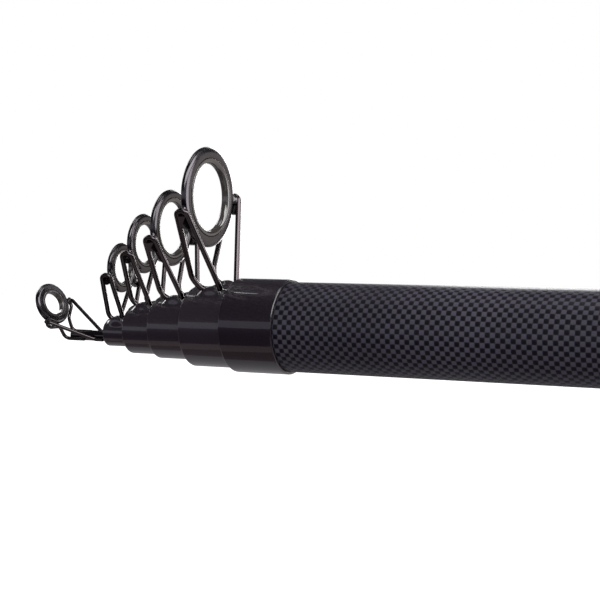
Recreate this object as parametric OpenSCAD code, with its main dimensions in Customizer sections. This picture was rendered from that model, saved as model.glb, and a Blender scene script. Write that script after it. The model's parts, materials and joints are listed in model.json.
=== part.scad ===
// Telescopic fishing rod, closed, in millimetres.
// X runs along the rod from the butt end to the tip and Z points up, to the side of the guides.
// The origin is the middle of the butt end's face, on the axis of the butt tube.
// Each closed section lies on the bottom of the bore it slides in, so the axes step down towards the tip.

/* [Butt section] */
// Front edge of the butt tube, measured from the butt end
butt_front = 545; // [450:5:900]
// Wall of the butt tube at its mouth
butt_wall = 0.87; // [0.7:0.01:2]
// Growth of the butt tube's radius per millimetre towards the butt end
butt_taper = 0.0013; // [0.001:0.0001:0.003]
// Length of the binding on the mouth of the butt tube
butt_wrap_len = 14.4; // [8:0.1:30]

/* [Sections 2 to 5] */
// Length of each section that shows in front of the one before it
mouth_step = [12.1, 10.3, 8.4, 7.5]; // [7:0.1:20]
// Wall of each tube at its mouth
wall = [1.48, 0.82, 1.53, 0.74]; // [0.7:0.01:2]
// Thickness of the lacquered binding on every mouth
wrap_t = 0.65; // [0.5:0.05:1.2]
// Gap in radius round each closed section, inside the bore it slides in
slack = [0.6, 0.6, 0.8, 1.05]; // [0.3:0.05:1.1]
// Length of each section that stays inside the bore when it is drawn out
overlap = [75, 70, 60, 50]; // [30:1:120]

/* [Tip section] */
// Diameter of the solid tip at its end
tip_d = 1.95; // [1.4:0.05:2.4]
// Gap in radius round the closed tip section
tip_slack = 1.1; // [0.6:0.05:1.3]
// Length of the tip that stays inside section 5 when it is drawn out
tip_overlap = 40; // [25:1:80]
// Length of the tip-top's tube in front of section 5
tip_reach = 10.9; // [9:0.1:16]
// Wall of the tip-top's tube
tip_tube_wall = 0.32; // [0.25:0.01:0.6]

/* [Guides] */
// Diameter of the hole that the line runs through
hole_d = [16.4, 12.9, 9.6, 7.8]; // [6:0.1:18]
// Radial width of the hard insert in each ring
insert_w = [1.4, 1.15, 1, 0.9]; // [0.8:0.05:1.6]
// Radial width of the frame round each insert
frame_w = [2.7, 2, 1.8, 1.6]; // [1.4:0.05:3]
// Thickness of each ring along the rod
ring_t = [2, 1.8, 1.6, 1.5]; // [1.4:0.1:3]
// Height of each ring's centre over the axis of its section
ring_h = [32.5, 25.2, 21.9, 16.7]; // [16:0.1:36]
// Distance of each ring's plane behind the mouth of its section
ring_back = [5.6, 3.7, 3.1, 2.9]; // [2.5:0.1:6]
// Turn of each section about its own axis, as it happens to lie, in degrees
turn = [9, 4.5, 1, -4]; // [-30:0.5:30]
// Thickness of the frame wire of each guide
wire_d = [1.4, 1.3, 1.25, 1.2]; // [0.9:0.05:1.5]
// Distance of the front foot behind the mouth
toe_back = [2.2, 2.4, 1.3, 1.3]; // [1:0.1:3]
// Distance of the rear foot in front of the binding's rear edge
heel_in = [2.1, 1.5, 1.5, 1.6]; // [1.4:0.1:2.4]
// Angle of the two feet from the top of the tube, in degrees
foot_angle = [21.5, 25.5, 24, 37]; // [15:0.5:45]
// Bend radius of the wire at the front foot
toe_bend = [4.8, 3.6, 3, 2.3]; // [1.2:0.1:5]
// Bend radius of the wire at the rear foot
heel_bend = [1.1, 1, 0.9, 0.8]; // [0.8:0.1:1.6]
// Bend radius at the top of each wire loop
top_bend = [1.5, 1.5, 1.4, 1.3]; // [1:0.1:1.7]
// Distance of the centre of that bend below the ring's centre
bend_drop = [2.8, 2.8, 3.4, 3.4]; // [1.5:0.1:4]
// Depth to which braze fills the top of each wire loop, below that centre
braze_drop = [3.4, 2.4, 1, 0.8]; // [0.5:0.1:4]

/* [Tip-top] */
// Diameter of the tip-top's hole
tip_hole_d = 5.8; // [4.5:0.1:6.4]
// Radial width of the hard insert in the tip-top's ring
tip_insert_w = 0.85; // [0.7:0.05:1.2]
// Radial width of the frame round that insert
tip_frame_w = 1.7; // [1.3:0.05:2.2]
// Thickness of the tip-top's ring
tip_ring_t = 1.6; // [1.3:0.1:2.2]
// Distance of the tip-top ring's centre in front of the tube's end
tip_ring_ahead = 4; // [3.5:0.1:6]
// Height of the tip-top ring's centre over the tip's axis
tip_ring_h = 9.2; // [8.6:0.1:12]
// Forward lean of the tip-top's ring, in degrees
tip_lean = 21.5; // [10:0.5:30]
// Turn of the tip section about its own axis, as it happens to lie, in degrees
tip_turn = 28; // [-30:0.5:40]
// Thickness of the tip-top's wire
tip_wire_d = 0.95; // [0.8:0.05:1.1]

/* [Reel seat] */
// Wall of the reel seat's body at its rear end
seat_wall = 2; // [1.8:0.1:4]
// Thickness of the seat under the flat that the reel's foot lies on
seat_floor = 0.8; // [0.7:0.05:1.2]
// Distance between the bottoms of the two pockets, for the reel's foot
foot_room = 64; // [60:1:70]
// Length of each hood
hood_len = 22; // [18:0.5:26]
// Length of the closed end of each hood, behind its pocket
hood_floor = 7; // [5:0.5:10]
// Wall of each hood round the seat
hood_wall = 1.8; // [1.4:0.1:2.4]
// Width of the pocket's round roof, in radius
pocket_r = 8.5; // [8:0.1:9.5]
// Wall of the hood's crest over the pocket
crest_wall = 2.3; // [1.6:0.1:3]
// Length of the lock nut
nut_len = 12; // [8:0.5:15]
// Wall of the lock nut
nut_wall = 3.2; // [2.8:0.1:6]
// Length of bare thread in front of the lock nut
thread_room = 21.7; // [12:0.1:30]

/* [Grip and butt cap] */
// Thickness of the rear grip on the butt tube
grip_wall = 2.85; // [2.7:0.05:7]
// Length of the rear grip
grip_len = 192; // [120:1:200]
// Radius of the grip's rounded ends
grip_round = 2.4; // [1:0.1:2.6]
// Wall of the ferrule's threaded barrel
ferrule_wall = 1.25; // [1:0.05:3]
// Length of the ferrule's flange
flange_len = 7.5; // [4:0.5:12]
// Wall of the butt cap round the thread
cap_wall = 1.15; // [1.05:0.05:4]
// Length of the butt cap's skirt over the thread
cap_skirt = 11; // [8:0.5:16]
// Thickness of the butt cap's floor
cap_floor = 9; // [5:0.5:12]
// Thickness of the rubber bumper on the butt end
bumper_t = 6; // [5:0.5:9]

/* [Clearances] */
// Gap in radius of a drawn-out section in its bore, and under a closed one
slide_fit = 0.06; // [0.04:0.01:0.1]
// Thickness of the glue between bonded pieces
bond = 0.03; // [0.02:0.01:0.05]
// Gap between pieces that turn or slide on each other
play = 0.15; // [0.1:0.05:0.2]
// Gap between end faces that close on each other
end_gap = 0.3; // [0.2:0.05:0.4]

/* [Hidden] */
$fn = 72;
small_fn = 24;

// How far a cutting body runs past a face, and how deep a body starts under a bore that trims it
past = 1;

// Colours as they look in the photograph
carbon = "#2b2a33";
lacquer = "#1c1a22";
gunmetal = "#6a666e";
black_wire = "#26242a";
hard_ring = "#8d8890";
foam = "#1f1f22";
rubber = "#161617";

// Bindings and guides
wrap_round = 0.35;
underwrap = 0.3;
ridge_cover = 0.7;
bend_out = 0.5;
braze_t = 0.9;
braze_sink = 0.6;
ring_round = 1;
ring_round_share = 0.45;
insert_round = 0.6;
insert_proud = 0.05;
seam_round = 0.12;

// Most of a foot's length that each bend may take up
toe_share = 0.66;
heel_share = 0.2;
top_share = 0.4;

// Rings of a wire's skin: sides of each, degrees of bend between them, and a direction to start from
wire_sides = 10;
bend_step = 12;
start_side = [0.1, 1, 0.2];

// Tip-top's wire, from its tail on the tube to the end of its strut
tip_tail = 4.2;
tip_foot_ahead = 1.7;
tip_knee = [0.3, 0.45, 3.8];
tip_arm_back = 1.5;
tip_arm_drop = 3.8;
tip_eye_out = 1.15;
tip_eye_drop = 0.6;
tip_strut_start = 3.4;
tip_strut_end = 1;
tip_bends = [1.5, 1.4, 1.5, 0.72, 2];
tip_end_wall = 0.5;
tip_tube_round = 0.2;
tip_lug_d = 1.2;
tip_lug_len = 1.6;
tip_lug_back = 1.15;
tip_lug_sink = 1.1;
tip_lug_drop = 2;

// Reel seat and butt
seat_round = 0.6;
hood_round = 0.8;
crest_sink = 2.5;
crest_ramp = 6;
crest_rise = 3;
nut_round = 0.8;
nut_grooves = 20;
nut_groove_depth = 0.6;
cap_grooves = 24;
cap_groove_depth = 0.3;
groove_d = 2.4;
check_len = 8;
check_edge = 0.5;
cap_round = 0.8;
flange_round = 0.6;
seal_t = 1.2;
bumper_sink = 2;
bumper_inset = 1.6;
bumper_round = 2.2;
cushion_play = 0.5;
cushion_round = 0.8;
rest_depth = 4;

// Places along the rod
cap_rear = bumper_t - bumper_sink;
cap_bottom = cap_rear + cap_floor;
cap_rim = cap_bottom + cap_skirt;
blank_rear = cap_bottom + end_gap;
rest_x = blank_rear + rest_depth;
flange_rear = cap_rim + 2 * play + seal_t;
flange_front = flange_rear + flange_len;
grip_rear = flange_front + end_gap;
grip_front = grip_rear + grip_len;
seat_rear = grip_front + end_gap;
pocket_rear = seat_rear + hood_floor;
hood_front = pocket_rear + foot_room + hood_floor;
nut_rear = hood_front + end_gap;
nut_front = nut_rear + nut_len;
seat_front = nut_front + thread_room;
check_rear = seat_front + end_gap;

// Sections by number: 0 is the butt, 1 to 4 are sections 2 to 5, and 5 is the tip
TIP = 5;
function gap(i) = i == TIP ? tip_slack : slack[i - 1];
function held(i) = i == TIP ? tip_overlap : overlap[i - 1];
function front_x(i) = i == 0 ? butt_front : front_x(i - 1) + (i == TIP ? tip_reach : mouth_step[i - 1]);
function axis_z(i) = i == 0 ? 0 : axis_z(i - 1) - gap(i);
function travel(i) = front_x(i - 1) - held(i) - rest_x;
function taper(i) = i == 0 ? butt_taper : gap(i) / travel(i);
function front_wall(i) = i == 0 ? butt_wall : wall[i - 1];
function front_r(i) = i == TIP ? tip_d / 2 : bore_r(i, front_x(i)) + front_wall(i);
function outer_r(i, x) = front_r(i) + taper(i) * (front_x(i) - x);
function bore_r(i, x) = outer_r(i + 1, x) + gap(i + 1) + slide_fit;

// Radii of what sits on the butt tube
thread_r = outer_r(0, blank_rear) + bond + ferrule_wall;
cap_r = thread_r + play + cap_wall;
bumper_r = cap_r - bumper_inset;
grip_r = outer_r(0, grip_rear) + bond + grip_wall;
seat_r = outer_r(0, seat_rear) + bond + seat_wall;
seat_flat = outer_r(0, pocket_rear) + bond + seat_floor;
hood_r = seat_r + hood_wall;
crest_z = seat_flat - crest_sink;
crest_r = pocket_r + crest_wall;
nut_r = seat_r + play + nut_wall;

// Guide g stands on section g + 2
function ring_r(g) = hole_d[g] / 2 + insert_w[g] + frame_w[g];
function foot_r(g) = front_r(g + 1) + 2 * bond + underwrap + wire_d[g] / 2;
function foot_y(g) = foot_r(g) * sin(foot_angle[g]);
function foot_z(g) = foot_r(g) * cos(foot_angle[g]);
function wrap_len(g) = mouth_step[g] - end_gap;
function heel_back(g) = wrap_len(g) - heel_in[g];
function foot_len(g) = heel_back(g) - toe_back[g];
function toe_r(g) = min(toe_bend[g], toe_share * foot_len(g));
function heel_r(g) = min(heel_bend[g], heel_share * foot_len(g));
function top_r(g) = min(top_bend[g], top_share * foot_len(g));

// The two legs of a loop would meet at its apex, over the centre of the bend at its top
function bend_y(g) = ring_r(g) + bend_out;
function bend_z(g) = ring_h[g] - bend_drop[g];
function loop_lean(g) = atan2(bend_y(g) - foot_y(g), bend_z(g) - foot_z(g));
function converge(g) = foot_len(g) / (foot_len(g) - 2 * top_r(g));
function foot_point(g, side, back) = [-back, side * foot_y(g), foot_z(g)];
function loop_apex(g, side) = let (k = converge(g)) [
    -toe_back[g] + k * (toe_back[g] - ring_back[g] + top_r(g)),
    side * (foot_y(g) + k * (bend_y(g) - foot_y(g))),
    foot_z(g) + k * (bend_z(g) - foot_z(g))];

// Corners of one wire loop, whose two ends lie opposite each other under the binding
function loop_corners(g, side, parting) = let (
    toe = foot_point(g, side, toe_back[g]),
    heel = foot_point(g, side, heel_back(g)),
    apex = loop_apex(g, side),
    toe_end = toe_back[g] + reach(heel, toe, apex, toe_r(g)),
    heel_end = heel_back(g) - reach(toe, heel, apex, heel_r(g)),
    join = (toe_end + heel_end) / 2)
    [foot_point(g, side, join - parting / 2), toe, apex, heel, foot_point(g, side, join + parting / 2)];
function loop_radii(g) = [toe_r(g), top_r(g), heel_r(g)];

// Corners of the tip-top's wire on one side, from the tube round the ring and back down the strut
tip_tube_r = outer_r(TIP, front_x(TIP - 1)) + bond + tip_tube_wall;
tip_ring_r = tip_hole_d / 2 + tip_insert_w + tip_frame_w;
tip_ring_x = tip_reach + tip_ring_ahead;
flank = tip_tube_r + bond + tip_wire_d / 2;
function tip_corners(side) = [
    [tip_reach - tip_tail, side * flank, 0],
    [tip_reach + tip_foot_ahead, side * flank, 0],
    [tip_reach + tip_foot_ahead + tip_knee[0], side * (flank + tip_knee[1]), tip_knee[2]],
    [tip_ring_x - tip_arm_back, side * tip_ring_r, tip_ring_h - tip_arm_drop],
    [tip_ring_x, side * (tip_ring_r + tip_eye_out), tip_ring_h - tip_eye_drop],
    [tip_strut_start, side * flank, 0],
    [tip_strut_end, side * flank, 0]];

// Wire bending: a wire runs straight between its corner points and has a round bend at each
function unit(v) = v / norm(v);
function half_angle(a, p, b) = acos(unit(a - p) * unit(b - p)) / 2;
function reach(a, p, b, r) = r / tan(half_angle(a, p, b));
function along(p, q, distance) = p + distance * unit(q - p);
function bend_centre(a, p, b, r) = p + unit(unit(a - p) + unit(b - p)) * r / sin(half_angle(a, p, b));

// Points on the wire's centre line round one bend, and along the whole wire
function bend_points(a, p, b, r) = let (
    centre = bend_centre(a, p, b, r),
    from = along(p, a, reach(a, p, b, r)) - centre,
    to = along(p, b, reach(a, p, b, r)) - centre,
    across = cross(unit(cross(from, to)), from),
    sweep = 180 - 2 * half_angle(a, p, b),
    steps = ceil(sweep / bend_step))
    [for (k = [0 : steps]) centre + from * cos(sweep * k / steps) + across * sin(sweep * k / steps)];
function wire_line(corners, radii) = let (last = len(corners) - 1) [
    corners[0],
    for (i = [1 : last - 1]) each bend_points(corners[i - 1], corners[i], corners[i + 1], radii[i - 1]),
    corners[last]];
function heading(line, i) = let (last = len(line) - 1)
    i == 0 ? unit(line[1] - line[0])
    : i == last ? unit(line[last] - line[last - 1])
    : unit(unit(line[i + 1] - line[i]) + unit(line[i] - line[i - 1]));
function square_to(v, direction) = unit(v - (v * direction) * direction);
function sides_of(line) = [
    for (i = 0, v = square_to(start_side, heading(line, 0)); i < len(line);
        i = i + 1, v = i < len(line) ? square_to(v, heading(line, i)) : v) v];

// The bent wire as one closed skin of rings along its centre line
module wire(corners, radii, d) {
    line = wire_line(corners, radii);
    sides = sides_of(line);
    rings = len(line);
    points = [
        for (i = [0 : rings - 1], k = [0 : wire_sides - 1])
            let (turned = 360 * k / wire_sides)
            line[i] + d / 2 * (cos(turned) * sides[i] + sin(turned) * cross(heading(line, i), sides[i]))];
    skin = [
        for (i = [0 : rings - 2], k = [0 : wire_sides - 1])
            let (a = i * wire_sides + k, b = i * wire_sides + (k + 1) % wire_sides)
            each [[a, b + wire_sides, b], [a, a + wire_sides, b + wire_sides]]];
    first = [for (k = [0 : wire_sides - 1]) k];
    last = [for (k = [1 : wire_sides]) rings * wire_sides - k];
    polyhedron(points, concat([first], skin, [last]));
}

// A round body along X, from x0 to x1
module cone_x(x0, x1, r0, r1) {
    translate([x0, 0, 0])
        rotate([0, 90, 0])
            cylinder(h = x1 - x0, r1 = r0, r2 = r1);
}

// Section i's outside with room for glue, to cut the bore of what is bonded on it
module seat_on(i, x0, x1) {
    cone_x(x0 - past, x1 + past, outer_r(i, x0 - past) + bond, outer_r(i, x1 + past) + bond);
}

// A band round the X axis from x0 to x1, with rounded outer edges
module band(x0, x1, r_in, r_out, round) {
    translate([x0, 0, 0])
        rotate([0, 90, 0])
            rotate_extrude() {
                translate([r_in, 0])
                    square([r_out - round - r_in, x1 - x0]);
                translate([r_in, round])
                    square([r_out - r_in, x1 - x0 - 2 * round]);
                for (x = [round, x1 - x0 - round])
                    translate([r_out - round, x])
                        circle(round, $fn = small_fn);
            }
}

// Rounding of a ring's edges, as far as its thickness and its radial width allow
function edge_round(most, thickness, width) = min(most, ring_round_share * min(thickness, width));

// A ring in the YZ plane with its own rounding on its inner and on its outer edges
module ring_section(r_in, r_out, thickness, inner_round, outer_round) {
    inner = edge_round(inner_round, thickness, r_out - r_in);
    outer = edge_round(outer_round, thickness, r_out - r_in);
    rotate([0, 90, 0])
        rotate_extrude() {
            translate([r_in + inner, -thickness / 2])
                square([r_out - r_in - inner - outer, thickness]);
            translate([r_in, -thickness / 2 + inner])
                square([inner, thickness - 2 * inner]);
            translate([r_out - outer, -thickness / 2 + outer])
                square([outer, thickness - 2 * outer]);
            for (x = [-1, 1]) {
                translate([r_in + inner, x * (thickness / 2 - inner)])
                    circle(inner, $fn = small_fn);
                translate([r_out - outer, x * (thickness / 2 - outer)])
                    circle(outer, $fn = small_fn);
            }
        }
}

module on_section(i, angle) {
    translate([front_x(i), 0, axis_z(i)])
        rotate([-angle, 0, 0])
            children();
}

// The tube of section i, from its rear end to its mouth
module section_tube(i, x0) {
    x1 = front_x(i);
    translate([0, 0, axis_z(i)])
        difference() {
            cone_x(x0, x1, outer_r(i, x0), outer_r(i, x1));
            cone_x(x0 - past, x1 + past, bore_r(i, x0 - past), bore_r(i, x1 + past));
        }
}

module blank(g) {
    color(carbon)
        section_tube(g + 1, rest_x);
}

// Rounded ridge of lacquer over one foot of a guide
module foot_ridge(g, side) {
    r = wire_d[g] / 2 + ridge_cover;
    span = foot_len(g) - toe_r(g) / 2;
    translate(foot_point(g, side, heel_back(g)))
        rotate([0, 90, 0])
            rotate_extrude()
                intersection() {
                    translate([0, -r])
                        square([r, span + 2 * r]);
                    union() {
                        square([r, span]);
                        for (x = [0, span])
                            translate([0, x])
                                circle(r, $fn = small_fn);
                    }
                }
}

// The hollows that a guide's two loops leave in what is bound or brazed round them
module loop_hollows(g) {
    for (side = [-1, 1])
        wire(loop_corners(g, side, end_gap - 2 * bond), loop_radii(g), wire_d[g] + 2 * bond);
}

module wrap(g) {
    i = g + 1;
    color(lacquer)
        on_section(i, turn[g])
            difference() {
                union() {
                    band(-wrap_len(g), 0, front_r(i) - past, front_r(i) + wrap_t, wrap_round);
                    for (side = [-1, 1])
                        foot_ridge(g, side);
                }
                translate([-front_x(i), 0, 0])
                    seat_on(i, front_x(i) - wrap_len(g), front_x(i));
                loop_hollows(g);
            }
}

module guide_wires(g) {
    color(black_wire)
        on_section(g + 1, turn[g])
            for (side = [-1, 1])
                wire(loop_corners(g, side, end_gap), loop_radii(g), wire_d[g]);
}

// Braze that fills the top of one wire loop and joins it to the ring
module loop_braze(g, side) {
    r = top_r(g);
    drop = braze_drop[g];
    leg = (bend_z(g) - foot_z(g)) / cos(loop_lean(g));
    front = r + (ring_back[g] - toe_back[g] - r) * drop / leg;
    rear = r + (heel_back(g) - ring_back[g] - r) * drop / leg;
    to_ring = bend_y(g) - sqrt(pow(ring_r(g), 2) - pow(bend_drop[g], 2));
    translate([-ring_back[g], side * bend_y(g), bend_z(g)])
        rotate([-side * loop_lean(g), 0, 0]) {
            translate([0, side * braze_t / 2, 0])
                rotate([side * 90, 0, 0])
                    cylinder(r = r, h = braze_t / 2 + to_ring + braze_sink, $fn = small_fn);
            rotate([90, 0, 0])
                linear_extrude(height = braze_t, center = true)
                    polygon([[-r, 0], [r, 0], [front, -drop], [-rear, -drop]]);
        }
}

module guide_ring(g) {
    color(gunmetal)
        on_section(g + 1, turn[g])
            difference() {
                union() {
                    translate([-ring_back[g], 0, ring_h[g]])
                        ring_section(ring_r(g) - frame_w[g], ring_r(g), ring_t[g], seam_round, ring_round);
                    for (side = [-1, 1])
                        loop_braze(g, side);
                }
                loop_hollows(g);
            }
}

// A hard insert of radial width w round a hole, a little thicker than the ring that holds it
module insert_section(hole, w, thickness) {
    ring_section(hole / 2, hole / 2 + w - 2 * bond, thickness + 2 * insert_proud, insert_round, seam_round);
}

module guide_insert(g) {
    color(hard_ring)
        on_section(g + 1, turn[g])
            translate([-ring_back[g], 0, ring_h[g]])
                insert_section(hole_d[g], insert_w[g], ring_t[g]);
}

module on_tip() {
    translate([front_x(TIP - 1), 0, axis_z(TIP)])
        rotate([-tip_turn, 0, 0])
            children();
}

module at_tip_ring() {
    translate([tip_ring_x, 0, tip_ring_h])
        rotate([0, tip_lean, 0])
            children();
}

module tip_blank() {
    color(carbon)
        translate([0, 0, axis_z(TIP)])
            cone_x(rest_x, front_x(TIP), outer_r(TIP, rest_x), outer_r(TIP, front_x(TIP)));
}

module tip_tube() {
    color(black_wire)
        on_tip()
            difference() {
                band(end_gap, tip_reach + tip_end_wall, 0, tip_tube_r, tip_tube_round);
                translate([-front_x(TIP - 1), 0, 0])
                    cone_x(front_x(TIP - 1), front_x(TIP) + bond,
                        outer_r(TIP, front_x(TIP - 1)) + bond, front_r(TIP) + bond);
            }
}

module tip_wires() {
    color(black_wire)
        on_tip()
            for (side = [-1, 1])
                wire(tip_corners(side), tip_bends, tip_wire_d);
}

module tip_ring() {
    color(gunmetal)
        on_tip()
            difference() {
                union() {
                    at_tip_ring()
                        ring_section(tip_ring_r - tip_frame_w, tip_ring_r, tip_ring_t,
                            seam_round, ring_round);
                    for (side = [-1, 1])
                        translate([tip_ring_x - tip_lug_back, side * (tip_ring_r - tip_lug_sink),
                            tip_ring_h - tip_lug_drop])
                            rotate([-side * 90, 0, 0])
                                cylinder(d = tip_lug_d, h = tip_lug_len, $fn = small_fn);
                }
                for (side = [-1, 1])
                    wire(tip_corners(side), tip_bends, tip_wire_d + 2 * bond);
            }
}

module tip_insert() {
    color(hard_ring)
        on_tip()
            at_tip_ring()
                insert_section(tip_hole_d, tip_insert_w, tip_ring_t);
}

module butt_blank() {
    color(carbon)
        section_tube(0, blank_rear);
}

module butt_wrap() {
    rear = butt_front - butt_wrap_len;
    color(lacquer)
        difference() {
            band(rear, butt_front, front_r(0) - past, front_r(0) + wrap_t, wrap_round);
            seat_on(0, rear, butt_front);
        }
}

// Threaded collar on the butt end that the cap screws over
module butt_ferrule() {
    color(gunmetal)
        difference() {
            union() {
                cone_x(blank_rear, flange_front, thread_r, thread_r);
                band(flange_rear, flange_front, thread_r - past, cap_r, flange_round);
            }
            seat_on(0, blank_rear, flange_front);
        }
}

module rear_grip() {
    color(foam)
        difference() {
            band(grip_rear, grip_front, front_r(0) - past, grip_r, grip_round);
            seat_on(0, grip_rear, grip_front);
        }
}

// Seat body with the flat that the reel's foot lies on, open to the front
module seat_body() {
    color(rubber)
        difference() {
            band(seat_rear, seat_front, front_r(0) - past, seat_r, seat_round);
            seat_on(0, seat_rear, seat_front);
            translate([pocket_rear, -seat_r, seat_flat])
                cube([seat_front - pocket_rear + past, 2 * seat_r, seat_r]);
        }
}

// Outside of a hood with its closed end at x = 0 and its mouth at x = hood_len
module hood_shell() {
    band(0, hood_len, seat_r - past, hood_r, hood_round);
    translate([0, 0, crest_z]) {
        cone_x(0, crest_ramp, crest_r - crest_rise, crest_r);
        cone_x(crest_ramp, hood_len, crest_r, crest_r);
    }
}

module hood_pocket() {
    translate([0, 0, crest_z])
        cone_x(hood_floor, hood_len + past, pocket_r, pocket_r);
}

module fixed_hood() {
    color(gunmetal)
        translate([seat_rear, 0, 0])
            difference() {
                hood_shell();
                cone_x(-past, hood_len + past, seat_r + bond, seat_r + bond);
                hood_pocket();
            }
}

// The sliding hood's bore has the seat's flat, which keeps it from turning
module moving_hood() {
    r = seat_r + play;
    color(gunmetal)
        translate([hood_front, 0, 0])
            mirror([1, 0, 0])
                difference() {
                    hood_shell();
                    intersection() {
                        cone_x(-past, hood_len + past, r, r);
                        translate([-2 * past, -2 * r, -2 * r])
                            cube([hood_len + 4 * past, 4 * r, 2 * r + seat_flat + play]);
                    }
                    hood_pocket();
                }
}

// Finger grooves round a turned piece from x0 to x1
module finger_grooves(count, x0, x1, r, depth) {
    for (k = [0 : count - 1])
        rotate([k * 360 / count, 0, 0])
            translate([0, 0, r + groove_d / 2 - depth])
                cone_x(x0 - past, x1 + past, groove_d / 2, groove_d / 2);
}

module lock_nut() {
    color(gunmetal)
        difference() {
            band(nut_rear, nut_front, seat_r - past, nut_r, nut_round);
            cone_x(nut_rear - past, nut_front + past, seat_r + play, seat_r + play);
            finger_grooves(nut_grooves, nut_rear, nut_front, nut_r, nut_groove_depth);
        }
}

module winding_check() {
    front = check_rear + check_len;
    color(rubber)
        difference() {
            cone_x(check_rear, front, seat_r, outer_r(0, front) + bond + check_edge);
            seat_on(0, check_rear, front);
        }
}

// Cup that screws over the ferrule, with a recess for the bumper in its end
module butt_cap() {
    color(gunmetal)
        difference() {
            band(cap_rear, cap_rim, 0, cap_r, cap_round);
            cone_x(cap_bottom, cap_rim + past, thread_r + play, thread_r + play);
            cone_x(cap_rear - past, bumper_t, bumper_r + bond, bumper_r + bond);
            finger_grooves(cap_grooves, cap_rear, cap_rim, cap_r, cap_groove_depth);
        }
}

module cap_bumper() {
    color(rubber)
        band(0, bumper_t - bond, 0, bumper_r, bumper_round);
}

// Foam disc that the rear ends of the closed sections rest on
module cap_cushion() {
    color(foam)
        band(cap_bottom + bond, rest_x - end_gap, 0, bore_r(0, rest_x) - cushion_play, cushion_round);
}

module cap_seal() {
    color(rubber)
        translate([cap_rim + play + seal_t / 2, 0, 0])
            rotate([0, 90, 0])
                rotate_extrude()
                    translate([thread_r + play + seal_t / 2, 0])
                        circle(d = seal_t, $fn = small_fn);
}

butt_blank();
butt_wrap();
butt_ferrule();
rear_grip();
seat_body();
fixed_hood();
winding_check();
moving_hood();
lock_nut();
butt_cap();
cap_bumper();
cap_cushion();
cap_seal();
for (g = [0 : 3]) {
    blank(g);
    wrap(g);
    guide_wires(g);
    guide_ring(g);
    guide_insert(g);
}
tip_blank();
tip_tube();
tip_wires();
tip_ring();
tip_insert();
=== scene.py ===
"""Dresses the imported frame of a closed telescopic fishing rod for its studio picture.

The rod lies along X, from its butt end at the origin to its tip, with its guides on top. Sizes are in
millimetres and angles in degrees where nothing else is said, and the meshes are in metres, as the frame
is.
"""

from __future__ import annotations

import json
import logging
import math
from abc import ABC, abstractmethod
from dataclasses import dataclass, field, replace
from enum import Enum, IntEnum
from typing import Any, Mapping, Sequence

import bmesh
import bpy
from bmesh.types import BMEdge, BMesh, BMFace, BMVert
from bpy.types import Material, Node, NodeSocket, NodeTree, Object
from mathutils import Matrix, Vector

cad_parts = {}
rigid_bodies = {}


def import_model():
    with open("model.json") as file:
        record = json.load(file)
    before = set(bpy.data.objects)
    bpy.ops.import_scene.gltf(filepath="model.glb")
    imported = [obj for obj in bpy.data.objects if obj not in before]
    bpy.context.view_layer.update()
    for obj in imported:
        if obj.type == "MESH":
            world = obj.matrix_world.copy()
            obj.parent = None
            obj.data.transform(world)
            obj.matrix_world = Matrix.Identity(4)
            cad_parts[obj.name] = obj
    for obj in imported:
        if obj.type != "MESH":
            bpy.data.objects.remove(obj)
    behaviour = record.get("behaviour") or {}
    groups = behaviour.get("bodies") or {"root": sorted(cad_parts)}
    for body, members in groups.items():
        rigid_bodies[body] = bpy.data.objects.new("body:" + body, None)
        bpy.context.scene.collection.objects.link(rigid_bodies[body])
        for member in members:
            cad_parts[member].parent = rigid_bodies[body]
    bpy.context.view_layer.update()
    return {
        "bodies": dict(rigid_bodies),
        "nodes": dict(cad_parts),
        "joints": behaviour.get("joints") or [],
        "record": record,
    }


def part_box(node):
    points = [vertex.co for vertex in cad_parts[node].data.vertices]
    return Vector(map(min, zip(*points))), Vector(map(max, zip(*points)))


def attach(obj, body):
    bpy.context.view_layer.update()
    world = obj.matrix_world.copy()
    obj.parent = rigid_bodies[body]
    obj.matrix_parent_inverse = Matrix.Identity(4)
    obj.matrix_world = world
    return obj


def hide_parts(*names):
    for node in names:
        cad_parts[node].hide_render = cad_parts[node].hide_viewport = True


LOG = logging.getLogger("rod")
MM = 0.001
ORIGIN = Vector((0.0, 0.0, 0.0))
X_AXIS = Vector((1.0, 0.0, 0.0))
Z_AXIS = Vector((0.0, 0.0, 1.0))
WHITE = (1.0, 1.0, 1.0, 1.0)

BOND = 0.03  # glue between bonded pieces
END_GAP = 0.3  # gap between closing end faces
UNDERWRAP = 0.3  # binding under a guide's feet
MERGE = 0.001  # points closer than this are one
FLAT = 0.01  # a point nearer to a plane than this lies in it
CREASE = 35.0  # an edge that bends by more stays sharp


class Side(IntEnum):
    """The two sides of the rod, seen from its butt end with the guides on top."""

    LEFT = 1
    RIGHT = -1


def linear(hex_colour: str) -> tuple[float, float, float, float]:
    """Turn an sRGB hex colour into a linear colour.

    Args:
        hex_colour: The colour as six hex digits after a hash sign.

    Returns:
        Linear red, green and blue, with an alpha of one.
    """
    channels = [int(hex_colour[k:k + 2], 16) / 255 for k in (1, 3, 5)]
    curve = [c / 12.92 if c <= 0.04045 else ((c + 0.055) / 1.055) ** 2.4 for c in channels]
    return curve[0], curve[1], curve[2], 1.0


def box_mm(node: str) -> tuple[Vector, Vector]:
    """Give the lowest and the highest corner of a CAD node, in millimetres."""
    low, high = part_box(node)
    return low / MM, high / MM


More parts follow.
